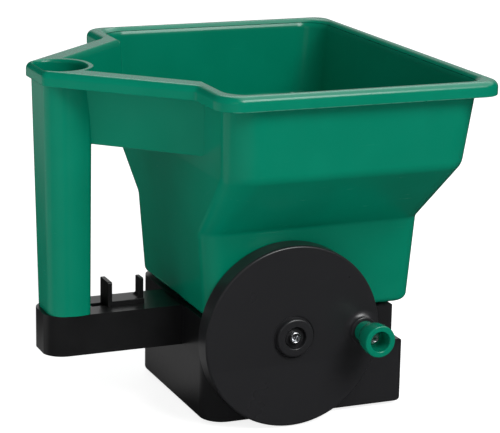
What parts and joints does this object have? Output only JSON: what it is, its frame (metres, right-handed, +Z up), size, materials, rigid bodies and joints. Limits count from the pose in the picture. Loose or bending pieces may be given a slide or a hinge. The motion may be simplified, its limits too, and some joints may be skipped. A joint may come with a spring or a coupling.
{
  "type": "hand spreader",
  "caption": "Hand-held seed and granule spreader: open hopper with a column grip and trough, gear housing, side crank disc, impeller and finger shutter.",
  "frame": {"origin": "on the floor, in the middle plane, straight below the crank axle, on the flat underside of the bottom cover", "axes": "+X forward (the way it throws), the crank on the -Y side, +Z up"},
  "size_m": [0.2432, 0.2492, 0.2135],
  "materials": {
    "green_plastic": "glossy moulded polypropylene",
    "black_plastic": "glossy moulded plastic",
    "black_matte": "satin moulded plastic",
    "pale_nylon": "natural nylon",
    "steel": "bright zinc-plated steel",
    "bronze": "plain bronze bush"
  },
  "bodies": {
    "housing": {"hopper": "green_plastic", "base_housing": "black_plastic", "bottom_cover": "black_matte", "gear_cover": "black_matte", "crank_axle": "steel", "hub_screw": "steel", "hub_washer": "steel", "drive_bushes": "bronze", "impeller_bushes": "bronze", "hopper_screws": "steel", "cover_screws": "steel", "gear_cover_screws": "steel", "grip_screw": "steel"},
    "crank": {"crank_disc": "black_plastic", "hub_bush": "bronze", "ring_gear": "pale_nylon", "knob_spindle": "steel", "knob_nut": "steel"},
    "knob": {"knob": "green_plastic"},
    "drive": {"drive_shaft": "steel", "drive_pinion": "pale_nylon", "drive_bevel": "pale_nylon"},
    "impeller": {"impeller": "black_plastic", "impeller_shaft": "steel", "driven_bevel": "pale_nylon", "impeller_screw": "steel", "agitator": "pale_nylon"},
    "shutter": {"gate_plate": "black_matte", "finger_slider": "black_plastic", "slider_clip": "black_matte", "slider_screw": "steel"}
  },
  "joints": [
    {"name": "crank_spin", "type": "hinge", "parent": "housing", "child": "crank", "pos_m": [0, -0.0687, 0.0569], "axis": [0, -1, 0], "continuous": true},
    {"name": "knob_spin", "type": "hinge", "parent": "crank", "child": "knob", "pos_m": [0.0444, -0.09, 0.0569], "axis": [0, -1, 0], "continuous": true},
    {"name": "drive_spin", "type": "hinge", "parent": "housing", "child": "drive", "pos_m": [0.016, -0.04, 0.04038], "axis": [0, -1, 0], "continuous": true},
    {"name": "impeller_spin", "type": "hinge", "parent": "housing", "child": "impeller", "pos_m": [0.016, 0, 0.04], "axis": [0, 0, 1], "continuous": true},
    {"name": "shutter_slide", "type": "slide", "parent": "housing", "child": "shutter", "axis": [-1, 0, 0], "range_m": [0, 0.013]}
  ],
  "couplings": [
    {"joint": "drive_spin", "follows": "crank_spin", "ratio": 4.8333},
    {"joint": "impeller_spin", "follows": "crank_spin", "ratio": -4.8333}
  ]
}
